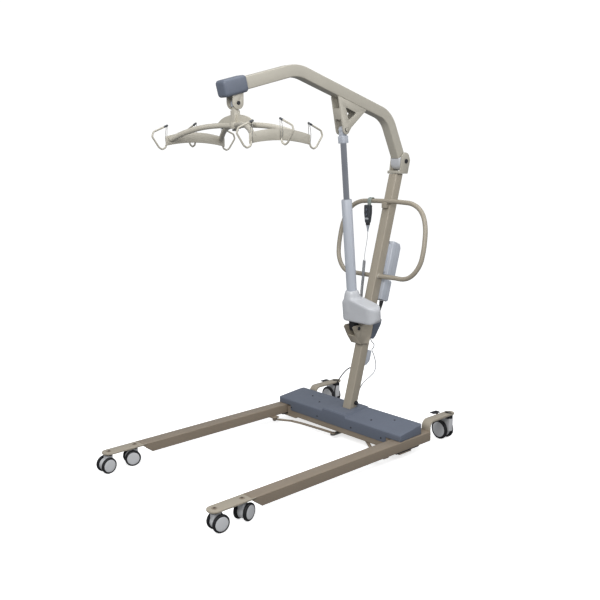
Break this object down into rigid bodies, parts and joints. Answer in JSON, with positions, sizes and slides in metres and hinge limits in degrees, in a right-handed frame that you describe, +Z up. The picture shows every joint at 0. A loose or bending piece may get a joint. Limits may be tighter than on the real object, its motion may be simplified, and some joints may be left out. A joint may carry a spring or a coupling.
{
  "type": "patient lift hoist",
  "caption": "Mobile patient lift: low spreading legs on twin-wheel casters, leaning mast, powered lifting boom, hanging spreader bar with sling hooks, push handle and wired handset.",
  "frame": {"origin": "on the floor, at the centre of the footprint's bounding box", "axes": "+Z up; the legs and the boom point along -Y, the push handle faces +Y; +X is the hoist's left side"},
  "size_m": [0.9556, 1.6318, 1.8324],
  "materials": {
    "paint": "satin champagne powder coat",
    "slate_plastic": "matt slate blue-grey",
    "pale_plastic": "light grey, satin",
    "white_plastic": "off-white, satin",
    "black_plastic": "black, satin",
    "grey_plastic": "mid grey",
    "chrome_rod": "polished hard chrome",
    "zinc_steel": "zinc plated",
    "tyre_black": "black rubber tread on grey hubs",
    "cable_jacket": "flexible jacket"
  },
  "bodies": {
    "base": {"base_beam": "paint", "leg_drive": "black_plastic", "pivot_bolt_left": "zinc_steel", "pivot_bolt_right": "zinc_steel", "base_cover": "slate_plastic", "mast": "paint", "mast_yoke": "paint", "boom_pivot_pin": "black_plastic", "mast_bracket": "paint", "actuator_lower_pin": "black_plastic", "push_handle": "paint", "control_box": "pale_plastic", "cable_boot": "black_plastic", "cable_shroud": "slate_plastic", "junction_box": "pale_plastic", "handset": "grey_plastic", "handset_lead": "cable_jacket", "handset_coil": "cable_jacket", "handset_tail": "cable_jacket", "black_cable": "cable_jacket", "grey_cable": "cable_jacket"},
    "lock_knob": {"mast_lock_knob": "black_plastic"},
    "left_leg": {"leg_left": "paint"},
    "right_leg": {"leg_right": "paint"},
    "tie_left": {"tie_bar_left": "paint"},
    "tie_right": {"tie_bar_right": "paint"},
    "crank": {"leg_crank": "zinc_steel"},
    "front_left_caster": {"caster_front_left_housing": "grey_plastic"},
    "front_left_wheels": {"caster_front_left_wheels": "tyre_black"},
    "mid_left_caster": {"caster_mid_left_housing": "grey_plastic"},
    "mid_left_wheels": {"caster_mid_left_wheels": "tyre_black"},
    "front_right_caster": {"caster_front_right_housing": "grey_plastic"},
    "front_right_wheels": {"caster_front_right_wheels": "tyre_black"},
    "mid_right_caster": {"caster_mid_right_housing": "grey_plastic"},
    "mid_right_wheels": {"caster_mid_right_wheels": "tyre_black"},
    "rear_left_caster": {"caster_rear_left_housing": "grey_plastic"},
    "rear_left_wheels": {"caster_rear_left_wheels": "tyre_black"},
    "rear_left_pedal": {"caster_rear_left_pedal": "black_plastic"},
    "rear_right_caster": {"caster_rear_right_housing": "grey_plastic"},
    "rear_right_wheels": {"caster_rear_right_wheels": "tyre_black"},
    "rear_right_pedal": {"caster_rear_right_pedal": "black_plastic"},
    "boom": {"boom": "paint", "boom_end_block": "white_plastic", "boom_end_cap": "slate_plastic", "hanger_clevis": "paint", "hanger_pin": "black_plastic", "boom_bracket": "paint"},
    "actuator": {"actuator_tube": "pale_plastic", "motor_housing": "white_plastic"},
    "ram": {"actuator_rod": "chrome_rod", "actuator_rod_end": "pale_plastic"},
    "hanger": {"hanger_stem": "paint"},
    "spreader": {"spreader_frame": "paint", "spreader_bar_left": "paint", "spreader_bar_right": "paint"},
    "battery": {"battery": "pale_plastic"},
    "button_up": {"handset_button_up": "slate_plastic"},
    "button_down": {"handset_button_down": "slate_plastic"}
  },
  "joints": [
    {"name": "lock_knob_turn", "type": "hinge", "parent": "base", "child": "lock_knob", "pos_m": [0.07, 0.4249, 0.172], "axis": [1, 0, 0], "continuous": true},
    {"name": "left_leg_spread", "type": "hinge", "parent": "base", "child": "left_leg", "pos_m": [0.441, 0.3479, 0.07], "axis": [0, 0, 1], "range_deg": [0, 12]},
    {"name": "right_leg_spread", "type": "hinge", "parent": "base", "child": "right_leg", "pos_m": [-0.367, 0.3479, 0.07], "axis": [0, 0, 1], "range_deg": [-12, 0]},
    {"name": "crank_turn", "type": "hinge", "parent": "base", "child": "crank", "pos_m": [0.037, 0.3779, 0.04], "axis": [0, 0, 1], "range_deg": [-20, 0]},
    {"name": "tie_left_pivot", "type": "hinge", "parent": "left_leg", "child": "tie_left", "pos_m": [0.403, 0.2109, 0.034], "axis": [0, 0, 1], "range_deg": [-12.5, 0]},
    {"name": "tie_right_pivot", "type": "hinge", "parent": "right_leg", "child": "tie_right", "pos_m": [-0.329, 0.2109, 0.034], "axis": [0, 0, 1], "range_deg": [0, 14]},
    {"name": "front_left_swivel", "type": "hinge", "parent": "left_leg", "child": "front_left_caster", "pos_m": [0.441, -0.7621, 0.0375], "axis": [0, 0, 1], "continuous": true},
    {"name": "front_left_roll", "type": "hinge", "parent": "front_left_caster", "child": "front_left_wheels", "pos_m": [0.44257, -0.74718, 0.0375], "axis": [0.9945, -0.1045, 0], "continuous": true},
    {"name": "mid_left_swivel", "type": "hinge", "parent": "left_leg", "child": "mid_left_caster", "pos_m": [0.441, -0.6271, 0.0375], "axis": [0, 0, 1], "continuous": true},
    {"name": "mid_left_roll", "type": "hinge", "parent": "mid_left_caster", "child": "mid_left_wheels", "pos_m": [0.43661, -0.61276, 0.0375], "axis": [0.9563, 0.2924, 0], "continuous": true},
    {"name": "front_right_swivel", "type": "hinge", "parent": "right_leg", "child": "front_right_caster", "pos_m": [-0.367, -0.7621, 0.0375], "axis": [0, 0, 1], "continuous": true},
    {"name": "front_right_roll", "type": "hinge", "parent": "front_right_caster", "child": "front_right_wheels", "pos_m": [-0.36622, -0.77708, 0.0375], "axis": [-0.9986, -0.0523, 0], "continuous": true},
    {"name": "mid_right_swivel", "type": "hinge", "parent": "right_leg", "child": "mid_right_caster", "pos_m": [-0.367, -0.6271, 0.0375], "axis": [0, 0, 1], "continuous": true},
    {"name": "mid_right_roll", "type": "hinge", "parent": "mid_right_caster", "child": "mid_right_wheels", "pos_m": [-0.37163, -0.64137, 0.0375], "axis": [-0.9511, 0.309, 0], "continuous": true},
    {"name": "rear_left_swivel", "type": "hinge", "parent": "left_leg", "child": "rear_left_caster", "pos_m": [0.441, 0.7199, 0.05], "axis": [0, 0, 1], "continuous": true},
    {"name": "rear_left_roll", "type": "hinge", "parent": "rear_left_caster", "child": "rear_left_wheels", "pos_m": [0.40115, 0.72339, 0.05], "axis": [0.0872, 0.9962, 0], "continuous": true},
    {"name": "rear_left_brake", "type": "hinge", "parent": "rear_left_caster", "child": "rear_left_pedal", "pos_m": [0.38123, 0.72513, 0.096], "axis": [0.0872, 0.9962, 0], "range_deg": [-12, 0]},
    {"name": "rear_right_swivel", "type": "hinge", "parent": "right_leg", "child": "rear_right_caster", "pos_m": [-0.367, 0.7199, 0.05], "axis": [0, 0, 1], "continuous": true},
    {"name": "rear_right_roll", "type": "hinge", "parent": "rear_right_caster", "child": "rear_right_wheels", "pos_m": [-0.40698, 0.7213, 0.05], "axis": [0.0349, 0.9994, 0], "continuous": true},
    {"name": "rear_right_brake", "type": "hinge", "parent": "rear_right_caster", "child": "rear_right_pedal", "pos_m": [-0.42696, 0.72199, 0.096], "axis": [0.0349, 0.9994, 0], "range_deg": [-12, 0]},
    {"name": "boom_lift", "type": "hinge", "parent": "base", "child": "boom", "pos_m": [0.037, 0.7739, 1.406], "axis": [1, 0, 0], "range_deg": [0, 34]},
    {"name": "actuator_tilt", "type": "hinge", "parent": "base", "child": "actuator", "pos_m": [0.037, 0.4359, 0.565], "axis": [1, 0, 0], "range_deg": [0, 2.8]},
    {"name": "ram_stroke", "type": "slide", "parent": "actuator", "child": "ram", "axis": [0, -0.0975, 0.9952], "range_m": [-0.267, 0]},
    {"name": "hanger_swing", "type": "hinge", "parent": "boom", "child": "hanger", "pos_m": [0.037, -0.3161, 1.649], "axis": [1, 0, 0], "range_deg": [-34.5, 0]},
    {"name": "spreader_swivel", "type": "hinge", "parent": "hanger", "child": "spreader", "pos_m": [0.037, -0.3161, 1.56], "axis": [0, 0, 1], "continuous": true},
    {"name": "battery_lift_off", "type": "slide", "parent": "base", "child": "battery", "axis": [0, 0.2672, 0.9636], "range_m": [0, 0.06]},
    {"name": "button_up_press", "type": "slide", "parent": "base", "child": "button_up", "axis": [0, 1, 0], "range_m": [0, 0.0018], "stiffness_N_per_m": 400},
    {"name": "button_down_press", "type": "slide", "parent": "base", "child": "button_down", "axis": [0, 1, 0], "range_m": [0, 0.0018], "stiffness_N_per_m": 400}
  ],
  "couplings": [
    {"joint": "right_leg_spread", "follows": "left_leg_spread", "ratio": -1},
    {"joint": "crank_turn", "follows": "left_leg_spread", "ratio": -1.6404},
    {"joint": "tie_left_pivot", "follows": "left_leg_spread", "ratio": -1.0175},
    {"joint": "tie_right_pivot", "follows": "left_leg_spread", "ratio": 1.1273},
    {"joint": "actuator_tilt", "follows": "boom_lift", "ratio": 0.08119},
    {"joint": "ram_stroke", "follows": "boom_lift", "m_per_rad": -0.44779},
    {"joint": "hanger_swing", "follows": "boom_lift", "ratio": -1}
  ]
}
